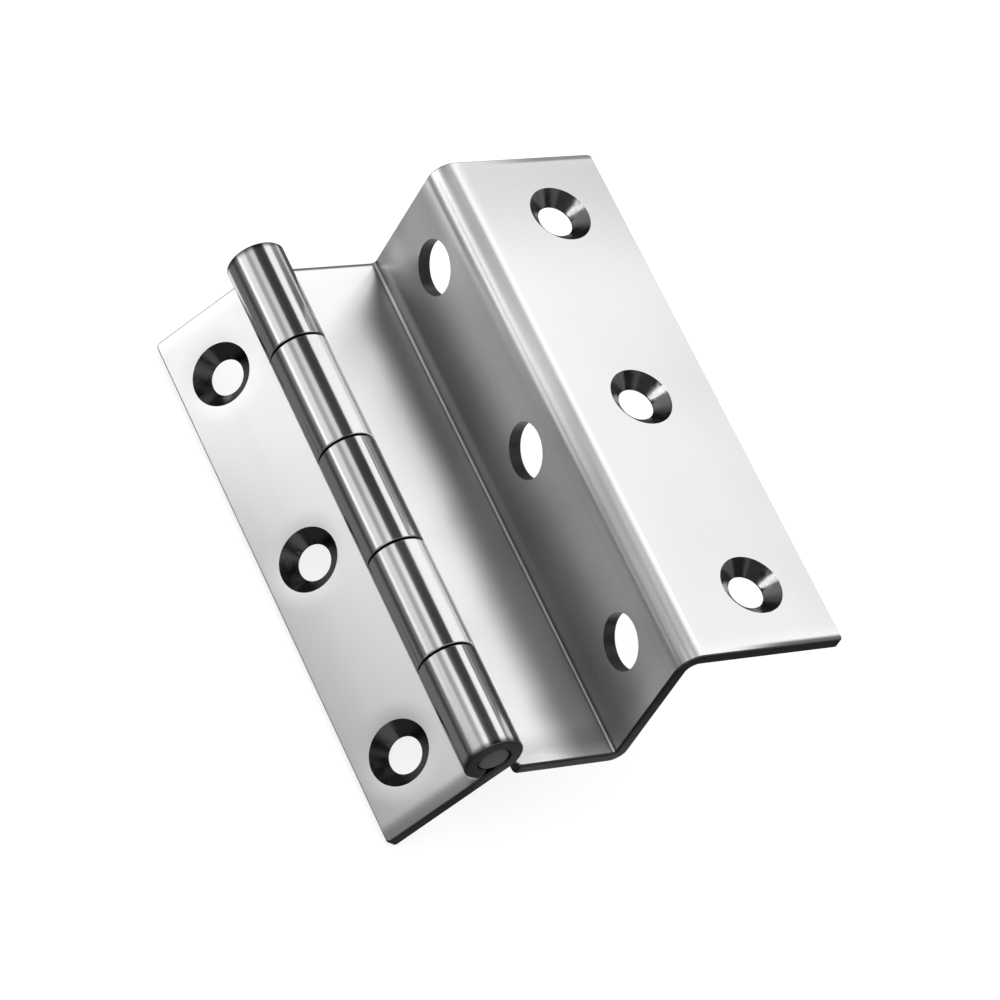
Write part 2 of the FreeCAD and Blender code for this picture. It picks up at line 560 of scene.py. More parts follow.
@dataclass(frozen=True)
class PaintedFoldLines:
    """A painted highlight line along the fold, and a painted dark line of shade beside it.

    Both lie on the fold's inside round. inside runs over the distance from its centre, bright
    over the distance from the line's middle, which is shifted off the round's.
    """

    centre: Line = Line(-19.5, -23.0)
    inside: Ramp = Ramp(0.52, 0.62, 1.0, 0.0)
    darker: float = 0.3
    grey: float = 0.3
    shift: float = 0.04
    bright: Ramp = Ramp(0.01, 0.09, 1.0, 0.0)

    def drawn_on(self, spot: Spot, value: Value) -> Value:
        """Draw both lines on a grey.

        Args:
            spot: The spot.
            value: Its grey.

        Returns:
            The grey with the lines.
        """
        inside = self.inside.over(spot.distance(self.centre))
        across, up = spot.offset(self.centre)
        value = value * (1.0 - inside * self.darker)
        bright = self.bright.over(abs(across + up - self.shift * MM)) * inside
        return value + bright * (self.grey - value)


@dataclass(frozen=True)
class PolishedSheet(Finish):
    """Rolled faces of the sheet: bright, with faint lines along the pin's direction.

    The knuckles were rolled between polished dies, so they are smoother than the flats.

    on_knuckle runs over the distance from the pin's axis. Lines, waves and scuffs change the
    roughness and the grey by a share, and the height by a strength and a depth. The faces dip
    by roll_depth over roll_width beside a cut.
    """

    title: str = "polished_sheet"
    grey: float = 0.70
    roughness: float = 0.31
    knuckle_grey: float = 0.56
    knuckle_roughness: float = 0.17
    on_knuckle: Ramp = Ramp(5.2, 8.0, 1.0, 0.0)
    line_rough: float = 0.06
    wave_rough: float = 0.10
    scuff_rough: float = 0.015
    line_shade: float = 0.04
    wave_shade: float = 0.16
    line_bump: Pair = (0.012, 0.01)
    wave_bump: Pair = (0.25, 0.25)
    roll_width: float = 3.2
    roll_depth: float = 0.12
    # painted shade round the fold, with a painted lighter strip on the web
    painted_fold_shade: PaintedFoldShade = PaintedFoldShade()
    # painted shade and painted highlight on the bend
    painted_bend_shade: PaintedBendShade = PaintedBendShade()
    # painted highlight line and painted dark line along the fold
    painted_fold_lines: PaintedFoldLines = PaintedFoldLines()
    # painted shade beside the cut ends
    painted_end_shade: PaintedEndShade = PaintedEndShade()

    def rolled_off(self, inside: Value, depth: "Value | float") -> Value:
        """Height of the face near a cut, for the distance from it and the dip at it, in metres."""
        near = inside.remap(0.0, self.roll_width * MM, 1.0, 0.0, "LINEAR")
        return near * near * (depth * -1.0)

    def looks(self, spot: Spot) -> dict[str, object]:
        """Grain, waviness, scuffs and shades.

        Args:
            spot: Where the surface is.

        Returns:
            Colour, roughness and normal.
        """
        scales = {"Line Scale": 1400.0, "Stretch": 0.025, "Wave Scale": 45.0}
        lines, waves = SheetGrain().put(spot, scales)
        (scuffs,) = Scuffs().put(spot, {"Scale": 260.0})
        knuckle = self.on_knuckle.over(spot.distance(PIN_AXIS))
        from_end = HALF_LENGTH * MM - abs(spot.y)

        roughness = knuckle.blend(self.roughness, self.knuckle_roughness)
        roughness = roughness + (lines - 0.5) * self.line_rough + scuffs * self.scuff_rough
        roughness = roughness + (waves - 0.5) * self.wave_rough

        grey = knuckle.blend(self.grey, self.knuckle_grey)
        # painted shade and painted highlights round the fold and on the bend
        grey = grey * self.painted_fold_shade.over(spot) * self.painted_bend_shade.over(spot)
        grey = grey * ((lines - 0.5) * self.line_shade + 1.0) * ((waves - 0.5) * self.wave_shade + 1.0)
        # painted fold lines, and painted shade beside the cut ends
        grey = self.painted_fold_lines.drawn_on(spot, grey) * self.painted_end_shade.over(spot, from_end, knuckle)
        colour = spot.nodes.add("CombineColor", {"Red": grey, "Green": grey, "Blue": grey})

        fine = spot.nodes.bump(lines, self.line_bump[0], self.line_bump[1] * MM)
        wavy = spot.nodes.bump(waves, self.wave_bump[0], self.wave_bump[1] * MM, Normal=fine)
        height = self.rolled_off(from_end, knuckle.blend(self.roll_depth * MM, 0.0))
        normal = self.shaped(spot, spot.nodes.bump(height, Normal=wavy))
        return {"Base Color": colour.outputs["Color"], "Roughness": roughness, "Normal": normal}

    def shaped(self, spot: Spot, normal: Socket) -> Socket:
        """The normal with what the rolling left. Plain sheet leaves it as it is."""
        return normal


@dataclass(frozen=True)
class CurledSheet(PolishedSheet):
    """The upper half of a knuckle, whose curl isn't quite round towards its lip.

    Attributes:
        changes_at: Angle round the pin, from +X towards +Z, where the curl starts to differ.
        flattening: Share of the turn that is missing from there on, or too much below zero.
        change_span: Angle over which it differs, in degrees. After that it is round again.
    """

    title: str = "curled_sheet"
    changes_at: float = 97.0
    flattening: float = 0.7
    change_span: float = 90.0

    def shaped(self, spot: Spot, normal: Socket) -> Socket:
        """Raise or lower the curl towards its lip, where it stands off the round.

        Args:
            spot: Where the surface is.
            normal: Its normal so far.

        Returns:
            The changed normal.
        """
        span = self.change_span * DEGREE
        past = spot.nodes.math("MAXIMUM", self.changes_at * DEGREE - spot.angle(PIN_AXIS), 0.0)
        bent = spot.nodes.math("MINIMUM", past, span)
        turns = bent * bent + (past - bent) * (2.0 * span)
        return spot.nodes.bump(turns * (self.flattening * 0.5 * BARREL_RADIUS * MM), Normal=normal)


@dataclass(frozen=True)
class DishedSheet(PolishedSheet):
    """The flat leaf's faces, which dip a little round the punched holes.

    Attributes:
        dish_depth: How far the faces dip at the holes, in millimetres.
    """

    title: str = "dished_sheet"
    dish_depth: float = 0.08
    # painted shade beside the leaf's cut ends
    painted_end_shade: PaintedEndShade = PaintedEndShade(near_end=Ramp(1.6, 3.5, 0.6), far_end=Ramp(0.1, 0.4, 0.3))

    def shaped(self, spot: Spot, normal: Socket) -> Socket:
        """Dip the faces towards the holes.

        Args:
            spot: Where the surface is.
            normal: Its normal so far.

        Returns:
            The changed normal.
        """
        away, up = spot.offset(PIN_AXIS)
        across = away * LEAF_AWAY.x + up * LEAF_AWAY.z - HOLE_REACH * MM
        half = 0.5 * HOLE_PITCH * MM
        along = spot.nodes.math("WRAP", spot.y, half, -half)
        outside = spot.nodes.math("SQRT", across * across + along * along) - MOUTH_RADIUS * MM
        return spot.nodes.bump(self.rolled_off(outside, self.dish_depth * MM), Normal=normal)


@dataclass(frozen=True)
class MarkedMetal(Finish):
    """Metal whose colour, roughness and height follow the marks of a tool.

    Attributes:
        shades: Factors on its grey between the marks and on them.
        rougher: What its roughness gains between the marks and on them.
        contrast: Values of the marks between which the roughness changes.
        strength: Share of the marks' height that shows, or nothing for smooth metal.
        depth: Depth of the marks, in millimetres.
    """

    shades: Pair = (0.85, 1.15)
    rougher: Pair = (-0.05, 0.06)
    contrast: Pair = (0.3, 0.7)
    strength: float = 0.0
    depth: float = 0.01

    def marks(self, spot: Spot) -> Marks:
        """Masks of the marks for the colour and the roughness, and their height."""
        raise NotImplementedError

    def looks(self, spot: Spot) -> dict[str, object]:
        """Colour, roughness and height of the marks.

        Args:
            spot: Where the surface is.

        Returns:
            Colour and roughness, and the normal where the marks have a height.
        """
        tint, rough, height = self.marks(spot)
        between, on_mark = (as_colour(self.grey * shade) for shade in self.shades)
        mix = spot.nodes.add("Mix", {"Factor": tint, "A": between, "B": on_mark}, data_type="RGBA")
        roughness = rough.remap(*self.contrast, *(self.roughness + more for more in self.rougher))
        looks = {"Base Color": mix.outputs["Result"], "Roughness": roughness}
        if self.strength:
            looks["Normal"] = spot.nodes.bump(height, self.strength, self.depth * MM)
        return looks


@dataclass(frozen=True)
class ShearedEdge(MarkedMetal):
    """Cut edges of the sheet, torn slightly rough across the thickness; their dark grey is partly painted
    shade.
    """

    title: str = "sheared_edge"
    # far darker than cut steel: partly painted shade
    grey: float = 0.065
    roughness: float = 0.42
    shades: Pair = (0.75, 1.25)
    rougher: Pair = (-0.06, 0.08)
    strength: float = 0.2
    depth: float = 0.03

    def marks(self, spot: Spot) -> Marks:
        """The shear's tears."""
        torn = spot.nodes.noise(spot.place, 1600.0, 3.0, 0.6)
        return torn, torn, torn


@dataclass(frozen=True)
class TurnedCone(MarkedMetal):
    """Countersinks and drilled walls, with rings left by the tool; their dark grey is partly painted shade.
    """

    title: str = "turned_cone"
    # far darker than cut steel: partly painted shade
    grey: float = 0.065
    roughness: float = 0.18
    shades: Pair = (0.75, 1.7)
    strength: float = 0.35
    depth: float = 0.008
    ring_pitch: float = 0.16

    def marks(self, spot: Spot) -> Marks:
        """The tool's rings, in patches.

        Args:
            spot: Where the surface is.

        Returns:
            The rings in patches, the patches, and the rings.
        """
        radius = spot.nodes.add("Attribute", attribute_name=SheetLeaf.ring_layer).outputs["Fac"]
        phase = spot.nodes.math("MULTIPLY", radius, math.tau / self.ring_pitch)
        rings = spot.nodes.math("SINE", phase) * 0.5 + 0.5
        patches = spot.nodes.noise(spot.place, 700.0, 2.0)
        return rings * patches, patches, rings


@dataclass(frozen=True)
class DrawnPin(MarkedMetal):
    """The pin: drawn wire with lines along it; its dark grey is partly painted shade where it shows in the
    curls.
    """

    title: str = "drawn_pin"
    # darkened as painted shade where the pin shows in the curls
    grey: float = 0.3
    roughness: float = 0.3
    rougher: Pair = (-0.05, 0.05)

    def marks(self, spot: Spot) -> Marks:
        """The lines of the drawing."""
        lines = SheetGrain().put(spot, {"Line Scale": 2200.0, "Stretch": 0.02})[0]
        return lines, lines, lines


@dataclass(frozen=True)
class SawnEnd(MarkedMetal):
    """The pin's cut ends, with the saw's fine curved marks."""

    title: str = "sawn_end"
    grey: float = 0.22
    roughness: float = 0.36
    contrast: Pair = (0.0, 1.0)
    strength: float = 0.15

    def marks(self, spot: Spot) -> Marks:
        """The saw's marks.

        Args:
            spot: Where the surface is.

        Returns:
            The marks, for all three.
        """
        inputs = {"Vector": spot.place, "Scale": 1500.0, "Distortion": 1.5, "Detail Scale": 1.2}
        saw = spot.nodes.add("TexWave", inputs, bands_direction="Z").outputs["Fac"]
        return (Value(spot.nodes, saw),) * 3


FINISHES = {
    Surface.ROLLED: PolishedSheet(),
    Surface.SHEARED: ShearedEdge(),
    Surface.COUNTERSUNK: TurnedCone(),
    Surface.CURLED: CurledSheet(),
    Surface.TIGHT_CURL: CurledSheet("tight_curl", changes_at=90.0, flattening=-1.1, change_span=6.0),
    Surface.DISHED: DishedSheet(),
    Surface.PIN_SIDE: DrawnPin(),
    Surface.PIN_END: SawnEnd(),
}


class TrueNormals:
    """Corner normals that keep flats flat, and let bends and curls run into them smoothly.

    Faces in one plane make a facet. At each corner only the facets count that are at least a
    share as large as the largest one there, so a flat isn't tilted by the rounding beside it.
    """

    share = 0.25
    flat_angle = 0.5 * DEGREE

    def __init__(self, work: bmesh.types.BMesh) -> None:
        """Sort a mesh's faces into facets.

        Args:
            work: The mesh, with its crisp edges marked.
        """
        self.work = work
        self.facet: dict[Face, int] = {}
        self.areas: list[float] = []
        self.normals: list[Vector] = []
        for face in work.faces:
            if face not in self.facet:
                self.grow(face)

    def grow(self, seed: Face) -> None:
        """Make the facet that a face lies in.

        Args:
            seed: The face.
        """
        number = len(self.areas)
        self.facet[seed] = number
        area, normal, waiting = 0.0, Vector(), [seed]
        while waiting:
            face = waiting.pop()
            area += face.calc_area()
            normal += face.normal * face.calc_area()
            for edge in face.edges:
                if not edge.smooth or edge.calc_face_angle(math.pi) > self.flat_angle:
                    continue
                for other in edge.link_faces:
                    if other not in self.facet:
                        self.facet[other] = number
                        waiting.append(other)
        self.areas.append(area)
        self.normals.append(normal.normalized())

    def fan(self, vert: bmesh.types.BMVert, start: Face) -> set[Face]:
        """The faces round a vertex that join one of them without a crisp edge.

        Args:
            vert: The vertex.
            start: The one face.

        Returns:
            All of them, with that face.
        """
        found, waiting = {start}, [start]
        while waiting:
            face = waiting.pop()
            for edge in face.edges:
                if vert in edge.verts and edge.smooth:
                    fresh = set(edge.link_faces) - found
                    found |= fresh
                    waiting.extend(fresh)
        return found

    def normal_at(self, vert: bmesh.types.BMVert, face: Face) -> Vector:
        """The normal of a face's corner.

        Args:
            vert: The corner's vertex.
            face: The face.

        Returns:
            The unit normal.
        """
        facets = {self.facet[other] for other in self.fan(vert, face)}
        largest = max(self.areas[number] for number in facets)
        total = Vector()
        for number in facets:
            if self.areas[number] >= self.share * largest:
                total += self.normals[number]
        return total.normalized()

    def corners(self) -> list[Vector]:
        """The normals of all corners, face by face."""
        return [self.normal_at(loop.vert, face) for face in self.work.faces for loop in face.loops]


@dataclass
class DressedPiece:
    """A CAD node's exact shape with clean normals and a finish on every face.

    Edges steeper than the crease angle, in degrees, are crisp. The node's loose triangles are
    merged over the gap, and edges shorter than a sliver dissolved.
    """

    node: str
    body: str
    slot: str
    surfaces: tuple[Surface, ...]
    crease_angle: float = 50.0
    merge_gap: float = 0.001
    sliver: float = 0.0005

    def build(self, frame: dict) -> None:
        """Copy the node's shape, merge it, sort its faces by finish and smooth it.
        """
        work = bmesh.new()
        work.from_mesh(frame["nodes"][self.node].data)
        work.transform(frame["nodes"][self.node].matrix_world)
        bmesh.ops.remove_doubles(work, verts=work.verts, dist=self.merge_gap * MM)
        bmesh.ops.dissolve_degenerate(work, edges=work.edges, dist=self.sliver * MM)
        bmesh.ops.recalc_face_normals(work, faces=work.faces)
        for layer in list(work.loops.layers.uv.values()):
            work.loops.layers.uv.remove(layer)
        self.sort_faces(work)
        self.crease(work)
        self.mark(work)
        normals = TrueNormals(work).corners()
        mesh = bpy.data.meshes.new("dressed_" + self.node)
        work.to_mesh(mesh)
        work.free()
        mesh.normals_split_custom_set(normals)
        piece = bpy.data.objects.new("dressed_" + self.node, mesh)
        bpy.context.scene.collection.objects.link(piece)
        for surface in self.surfaces:
            mesh.materials.append(FINISHES[surface].material())
        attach(piece, self.body)
        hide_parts(self.node)
        log.info("%s: %d faces", piece.name, len(mesh.polygons))

    def surface_of(self, face: Face) -> Surface:
        """How a face was made."""
        raise NotImplementedError

    def sort_faces(self, work: bmesh.types.BMesh) -> None:
        """Give each face the material index of its surface.

        Args:
            work: The merged mesh.
        """
        for face in work.faces:
            face.smooth = True
            face.material_index = self.surfaces.index(self.surface_of(face))

    def crease(self, work: bmesh.types.BMesh) -> None:
        """Mark the edges that stay crisp: steep ones, and where a countersink ends.

        Args:
            work: The mesh, with its faces sorted.
        """
        limit = self.crease_angle * DEGREE
        for edge in work.edges:
            finishes = {self.surfaces[face.material_index] for face in edge.link_faces}
            turned = Surface.COUNTERSUNK in finishes and len(finishes) > 1
            edge.smooth = edge.calc_face_angle(math.pi) <= limit and not turned

    def mark(self, work: bmesh.types.BMesh) -> None:
        """Store what the finishes read. Plain pieces store nothing."""


@dataclass
class SheetLeaf(DressedPiece):
    """A folded leaf with its countersinks and sheared edges, in millimetres.

    The leaf points away from the pin and reaches to its free edge. The slopes are the least
    parts of a normal along Y that make a face a cut one, within the margin of an end and
    elsewhere.

    Attributes:
        notch_reach: Distance of its notches' bottoms from the pin's axis.
        lip_reach: Distance within which they lie.
        facing: Least part of a normal along a direction for a face that looks that way.
        level: Largest part of a normal along a direction for a face that runs that way.
        close: How far a face may lie from where it is looked for.
        ring_reach: Largest distance from a hole's axis that is stored.
    """

    surfaces: tuple[Surface, ...] = (
        Surface.ROLLED,
        Surface.SHEARED,
        Surface.COUNTERSUNK,
        Surface.CURLED,
    )
    flats: Surface = Surface.ROLLED
    curls: Surface = Surface.CURLED
    reach: float = 55.5
    bore_radius: float = 2.75
    notch_reach: float = 5.9
    lip_reach: float = 9.0
    end_margin: float = 1.0
    end_slope: float = 0.2
    cut_slope: float = 0.8
    facing: float = 0.98
    level: float = 0.3
    close: float = 0.1
    ring_reach: float = 9.0

    away = Vector((1.0, 0.0, 0.0))
    ring_layer = "ring_radius"

    @cached_property
    def holes(self) -> tuple[Countersink, ...]:
        """The leaf's countersinks."""
        raise NotImplementedError

    def surface_of(self, face: Face) -> Surface:
        """How a face of the leaf was made.

        Args:
            face: A face of the merged mesh.

        Returns:
            The surface.
        """
        centre = face.calc_center_median()
        if any(hole.holds(centre) for hole in self.holes):
            return Surface.COUNTERSUNK
        at_end = abs(centre.y) / MM > HALF_LENGTH - self.end_margin
        slope = self.end_slope if at_end else self.cut_slope
        if abs(face.normal.y) > slope or self.is_cut(centre, face.normal):
            return Surface.SHEARED
        return self.curls if self.is_knuckle_top(centre) else self.flats

    def is_knuckle_top(self, centre: Vector) -> bool:
        """Whether a face lies on the outside of a knuckle, above the pin."""
        offset = PIN_AXIS.offset(centre)
        return offset.z > 0.0 and -THICKNESS / 2.0 < offset.length - BARREL_RADIUS < self.close

    def is_cut(self, centre: Vector, normal: Vector) -> bool:
        """Whether a face was cut: the free edge, the bottom of a notch or a curl's lip.

        Args:
            centre: The face's centre, in metres.
            normal: The face's normal.

        Returns:
            True for a cut face.
        """
        offset = PIN_AXIS.offset(centre)
        out, looks = offset.length, normal.dot(self.away)
        edge = looks > self.facing and offset.dot(self.away) > self.reach - self.close
        notch = looks < -self.facing and self.notch_reach - self.close < out < self.lip_reach
        in_curl = self.bore_radius < out < BARREL_RADIUS
        return edge or notch or (in_curl and abs(normal.dot(offset.normalized())) < self.level)

    def mark(self, work: bmesh.types.BMesh) -> None:
        """Store each corner's distance from its hole's axis, for the tool's rings.

        Args:
            work: The mesh.
        """
        layer = work.verts.layers.float.new(self.ring_layer)
        for vert in work.verts:
            near = min(self.holes, key=lambda hole: (vert.co / MM - hole.mouth).length)
            vert[layer] = min(near.radius_at(vert.co), self.ring_reach)


@dataclass
class CrankedLeaf(SheetLeaf):
    """The leaf that is folded up the web and out into the flange.

    Attributes:
        middle_hole: How far the flange's middle hole stands out of line, along X.
        web: X of the web's inner and outer face.
        web_hole_height: Z of the web's holes.
        web_hole_radius: Their radius.
    """

    middle_hole: float = -2.5
    web: Pair = (-19.0, -16.75)
    web_hole_height: float = -10.0
    web_hole_radius: float = 4.75

    @cached_property
    def holes(self) -> tuple[Countersink, ...]:
        """The flange's countersinks."""
        places = ((0.0, -HOLE_PITCH), (self.middle_hole, 0.0), (0.0, HOLE_PITCH))
        return tuple(Countersink(Vector((x, y, THICKNESS)), UP) for x, y in places)

    def is_cut(self, centre: Vector, normal: Vector) -> bool:
        """Whether a face was cut, a web hole's too.

        Args:
            centre: The face's centre, in metres.
            normal: The face's normal.

        Returns:
            True for a cut face.
        """
        in_web = self.web[0] + self.close < centre.x / MM < self.web[1] - self.close
        in_hole = abs(centre.z / MM - self.web_hole_height) < self.web_hole_radius + self.close
        across = abs(normal.x) < self.level
        return (in_web and in_hole and across) or super().is_cut(centre, normal)


@dataclass
class FlatLeaf(SheetLeaf):
    """The plain leaf, hanging past flat from the pin."""

    surfaces: tuple[Surface, ...] = (
        Surface.DISHED,
        Surface.SHEARED,
        Surface.COUNTERSUNK,
        Surface.TIGHT_CURL,
    )
    flats: Surface = Surface.DISHED
    curls: Surface = Surface.TIGHT_CURL
    reach: float = 23.25

    away = LEAF_AWAY

    @cached_property
    def holes(self) -> tuple[Countersink, ...]:
        """The leaf's countersinks.

        Returns:
            One for each hole, along the pin.
        """
        axis = ALONG.cross(self.away)
        middle = Vector((PIN_AXIS.x, 0.0, PIN_AXIS.z)) + self.away * HOLE_REACH - axis * self.bore_radius
        return tuple(Countersink(middle + ALONG * y, axis) for y in (-HOLE_PITCH, 0.0, HOLE_PITCH))


@dataclass
class HingePin(DressedPiece):
    """The plain pin that all knuckles are rolled round."""

    surfaces: tuple[Surface, ...] = (Surface.PIN_SIDE, Surface.PIN_END)
    end_slope: float = 0.5

    def surface_of(self, face: Face) -> Surface:
        """Whether a face of the pin is its side or an end."""
        return Surface.PIN_END if abs(face.normal.y) > self.end_slope else Surface.PIN_SIDE


def standing(middle: Vector, up: Vector, out: Vector) -> Matrix:
    """The place of something whose middle, Y and Z are given, with its directions square."""
    turned = Matrix((up.cross(out), up, out)).transposed()
    return Matrix.Translation(middle) @ turned.to_4x4()


def stage_rectangle(title: str, size: Pair, place: Matrix) -> tuple[bpy.types.Object, Nodes]:
    """Make a flat rectangle of the stage.

    Args:
        title: Its name.
        size: Its width and length, in metres.
        place: Where it stands.

    Returns:
        Its object, and the nodes of its material.
    """
    work = bmesh.new()
    bmesh.ops.create_grid(work, x_segments=1, y_segments=1, size=0.5)
    bmesh.ops.scale(work, vec=(*size, 1.0), verts=work.verts)
    bmesh.ops.transform(work, matrix=place, verts=work.verts)
    mesh = bpy.data.meshes.new(title)
    work.to_mesh(mesh)
    work.free()
    made = bpy.data.objects.new(title, mesh)
    bpy.context.scene.collection.objects.link(made)
    paint = bpy.data.materials.new(title)
    paint.use_nodes = True
    mesh.materials.append(paint)
    return made, Nodes(paint.node_tree)


def stage_card(title: str, size: Pair, place: Matrix, level: float, one_sided: bool = False) -> None:
    """Make a card that camera, floor and shadows don't show.

    Args:
        title: Its name.
        size: Its width and length, in metres.
        place: Where it stands.
        level: Shade of the card.
        one_sided: Whether its back lets light through.
    """
    made, nodes = stage_rectangle(title, size, place)
    shown = nodes.add("Emission", {"Color": as_colour(level), "Strength": 1.0}).outputs[0]
    if one_sided:
        back = nodes.add("NewGeometry").outputs["Backfacing"]
        clear = nodes.add("BsdfTransparent").outputs[0]
        shown = nodes.add("MixShader", {0: back, 1: shown, 2: clear}).outputs[0]
    nodes.add("OutputMaterial", {"Surface": shown})
    made.visible_camera = False
    made.visible_diffuse = False
    made.visible_shadow = False


@dataclass
class Panel:
    """A long panel beside or above the hinge, parallel to its pin.

    Attributes:
        title: Its name.
        turn: Angle of its middle round the pin's direction, from +X towards +Z, in degrees.
        spread: Angle that its width takes up, in degrees.
        start: Where it starts along Y, in metres.
        end: Where it ends along Y, in metres.
        level: Brightness of its face, 1 being white.
        reach: Distance from the hinge, in metres.
        around: The line that it is turned round.
    """

    title: str
    turn: float
    spread: float
    start: float
    end: float
    level: float
    reach: float = 0.7
    around: Line = MIDDLE

    def size(self) -> Pair:
        """Its width and length, in metres."""
        return 2.0 * self.reach * math.tan(self.spread / 2.0 * DEGREE), self.end - self.start

    def place(self) -> Matrix:
        """The panel's place: its Z looks away from the hinge and its Y runs along the pin.

        Returns:
            The matrix.
        """
        turn = self.turn * DEGREE
        out = Vector((math.cos(turn), 0.0, math.sin(turn)))
        centre = Vector((self.around.x, 0.0, self.around.z)) * MM
        middle = centre + out * self.reach + ALONG * (self.start + self.end) / 2.0
        return standing(middle, ALONG, out)


@dataclass
class SoftBox(Panel):
    """A soft lamp that bright metal mirrors. Its level is added to the white room behind it."""

    def build(self) -> None:
        """Make the lamp."""
        lamp = bpy.data.lights.new(self.title, "AREA")
        lamp.shape = "RECTANGLE"
        lamp.size, lamp.size_y = self.size()
        lamp.energy = math.pi * lamp.size * lamp.size_y * self.level
        made = bpy.data.objects.new(self.title, lamp)
        made.matrix_world = self.place()
        made.visible_camera = False
        bpy.context.scene.collection.objects.link(made)


@dataclass
class Card(Panel):
    """A grey or black card that only the metal's mirror image shows."""

    def build(self) -> None:
        """Make the card."""
        stage_card(self.title, self.size(), self.place(), self.level)


@dataclass
class Prop:
    """A card that stands free near the hinge.

    Attributes:
        title: Its name.
        middle: Its middle, in metres.
        facing: Direction that its face looks in.
        size: Its width and length, in metres. The length runs as near upright or along Y as it can.
        level: Shade of its face.
        one_sided: Whether only its face shows, and its back lets light through.
        upward: Part of its direction along Z from which it looks up or down.
    """

    title: str
    middle: Triple
    facing: Triple
    size: Pair
    level: float
    one_sided: bool = False
    upward: float = 0.6

    def build(self) -> None:
        """Make the card."""
        out = Vector(self.facing).normalized()
        guide = ALONG if abs(out.z) > self.upward else UP
        place = standing(Vector(self.middle), out.cross(guide.cross(out).normalized()), out)
        stage_card(self.title, self.size, place, self.level, self.one_sided)


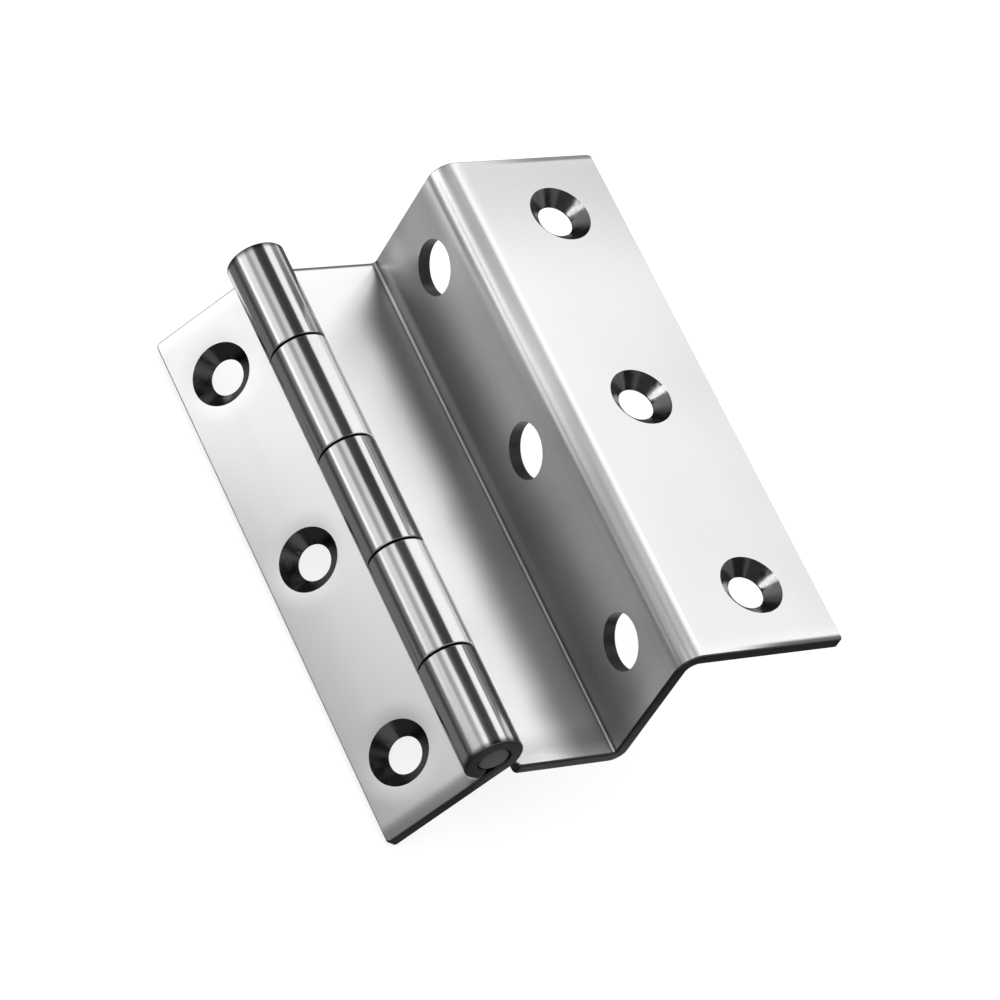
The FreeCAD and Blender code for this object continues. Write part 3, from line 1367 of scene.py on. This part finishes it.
@dataclass
class Studio:
    """Pale floor, white surroundings, soft lamps and cards.

    Lengths are in millimetres, but the floor's width is in metres. The floor glows to the
    camera and to mirrors. The plugs stand in the web's holes, and the inner section mirrors them.

    Attributes:
        floor_gap: How far the cards on the floor lie above it.
        plug: X and Z of the plugs.
    """

    floor_level: float = -43.05
    floor_gap: float = 0.15
    floor_width: float = 12.0
    floor_grey: float = 0.3
    floor_glow: float = 0.75
    room_level: float = 1.0
    plug: Line = Line(-18.95, -10.0)
    plug_size: float = 9.4
    plug_level: float = 1.05

    def build(self) -> None:
        """Make the floor, the world, the lamps and the cards."""
        self.floor()
        self.world()
        for piece in (*self.panels(), *self.props(), *self.plugs()):
            piece.build()

    def panels(self) -> tuple[Panel, ...]:
        """The lamps and cards parallel to the pin.

        Returns:
            All of them, in the order in which they are made.
        """
        return (
            SoftBox("key_box", 48.0, 50.0, -0.5, 1.5, 0.54, 0.8),
            SoftBox("top_box", 75.0, 14.0, -0.5, 1.5, 0.25, 0.78),
            SoftBox("back_box", 131.0, 22.0, -0.5, 1.5, 1.35, 0.8),
            SoftBox("low_box", 170.0, 32.0, 0.33, 1.2, 1.15, 0.8),
            Card("overhead_grey", 96.0, 28.0, -0.9, 1.6, 0.40, 0.76),
            Card("bend_grey", 149.0, 22.0, -0.6, 0.34, 0.45, 0.76),
            Card("end_grey", 168.0, 30.0, -0.6, 0.32, 0.12, 0.76),
            Card("right_strip", 20.5, 49.0, 0.25, 0.49, 0.08),
            Card("key_strip", 62.5, 35.0, 0.25, 0.49, 1.60),
            Card("bend_card", 122.0, 34.0, -0.055, 0.060, 0.42, 0.008, BEND_CORNER),
            Card("side_strip", 162.0, 26.0, 0.25, 0.49, 1.20),
            Card("back_strip", 124.5, 17.0, -0.035, 0.085, 1.00, 0.045, PIN_AXIS),
            Card("back_step", 141.5, 17.0, -0.035, 0.085, 0.55, 0.045, PIN_AXIS),
        )

    def props(self) -> tuple[Prop, ...]:
        """The cards that stand free, and those on the floor.

        Returns:
            All of them, in the order in which they are made.
        """
        return (
            Prop("barrel_black", (-0.0474, 0.017, 0.005), (0.0, 0.0, -1.0), (0.0185, 0.120), 0.05),
            Prop("leaf_grey", (-0.145, -0.005, -0.035), (1.0, 0.0, 0.0), (0.16, 0.016), 0.25),
            self.floor_card("low_left", -0.209, 0.06, (0.182, 0.28), 0.24),
            self.floor_card("low_dark", -0.099, 0.06, (0.038, 0.28), 0.08),
            self.floor_card("low_middle", -0.067, 0.06, (0.026, 0.28), 0.22),
            self.floor_card("low_right", -0.042, -0.014, (0.024, 0.132), 0.22),
            self.floor_card("front_floor", 0.06, -0.14, (0.30, 0.16), 0.04),
            self.floor_card("far_floor", 0.04, 0.12, (0.16, 0.13), 0.12),
            self.floor_card("hole_floor", 0.045, 0.0125, (0.05, 0.085), 0.05),
            Prop("far_black", (0.05, 0.45, 0.05), (0.0, -1.0, 0.0), (0.8, 0.18), 0.10),
            Prop("front_black", (0.45, -0.55, 0.32), (-0.58, 0.67, -0.46), (0.5, 0.6), 0.15),
            Prop("camera_black", (-0.36, -0.30, 0.42), (0.57, 0.47, -0.67), (0.35, 0.45), 0.10),
            Prop("glint", (-0.42, 0.095, 0.553), (0.6, -0.14, -0.79), (0.08, 0.26), 28.0),
        )

    def floor_card(self, title: str, x: float, y: float, size: Pair, level: float) -> Prop:
        """A card that lies just above the floor."""
        height = (self.floor_level + self.floor_gap) * MM
        return Prop(title, (x, y, height), (0.0, 0.0, 1.0), size, level)

    def plugs(self) -> tuple[Prop, ...]:
        """The one-sided cards in the web's holes.

        Returns:
            One for each hole.
        """
        size = (self.plug_size * MM, self.plug_size * MM)
        places = [(self.plug.x * MM, y * MM, self.plug.z * MM) for y in (-HOLE_PITCH, 0.0, HOLE_PITCH)]
        return tuple(
            Prop("plug_%d" % number, place, (-1.0, 0.0, 0.0), size, self.plug_level, True)
            for number, place in enumerate(places)
        )

    def floor(self) -> None:
        """Make the pale floor."""
        place = Matrix.Translation(UP * self.floor_level * MM)
        nodes = stage_rectangle("pale_floor", (self.floor_width, self.floor_width), place)[1]
        rays = nodes.add("LightPath").outputs
        seen = nodes.math("MAXIMUM", rays["Is Camera Ray"], rays["Is Glossy Ray"])
        seen = nodes.math("MAXIMUM", seen, rays["Is Transmission Ray"])
        matt = nodes.add("BsdfDiffuse", {"Color": as_colour(self.floor_grey)}).outputs[0]
        glow = nodes.add("Emission", {"Color": as_colour(1.0), "Strength": seen * self.floor_glow})
        both = nodes.add("AddShader", {0: matt, 1: glow.outputs[0]})
        nodes.add("OutputMaterial", {"Surface": both.outputs[0]})

    def world(self) -> None:
        """Make the plain white surroundings."""
        world = bpy.data.worlds.new("white_room")
        bpy.context.scene.world = world
        world.use_nodes = True
        nodes = Nodes(world.node_tree)
        glow = nodes.add("Background", {"Color": as_colour(1.0), "Strength": self.room_level})
        nodes.add("OutputWorld", {"Surface": glow.outputs[0]})


@dataclass(frozen=True)
class StudioCamera:
    """The picture's viewpoint, in millimetres and unit directions, with its clip in metres."""

    place: Triple = (-517.87, -414.48, 595.74)
    right: Triple = (0.8259, -0.3921, 0.4051)
    up: Triple = (0.0834, 0.7956, 0.6001)
    lens: float = 199.22
    sensor: float = 36.0
    clip: Pair = (0.05, 20.0)

    def build(self) -> None:
        """Make the camera and give it to the scene."""
        data = bpy.data.cameras.new("studio_camera")
        data.lens = self.lens
        data.sensor_width = self.sensor
        data.clip_start, data.clip_end = self.clip
        made = bpy.data.objects.new("studio_camera", data)
        right = Vector(self.right).normalized()
        back = right.cross(Vector(self.up)).normalized()
        made.matrix_world = standing(Vector(self.place) * MM, back.cross(right), back)
        bpy.context.scene.collection.objects.link(made)
        bpy.context.scene.camera = made


def main() -> None:
    """Build the dressed hinge, its studio and its camera."""
    logging.basicConfig(level=logging.INFO, format="%(name)s: %(message)s")
    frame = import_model()

    CrankedLeaf("cranked_leaf", "cranked_side", "leaf_steel").build(frame)
    FlatLeaf("flat_leaf", "flat_side", "leaf_steel").build(frame)
    HingePin("hinge_pin", "flat_side", "pin_steel").build(frame)

    Studio().build()
    StudioCamera().build()
    bpy.context.scene.view_settings.view_transform = "Standard"


if __name__ == "__main__":
    main()
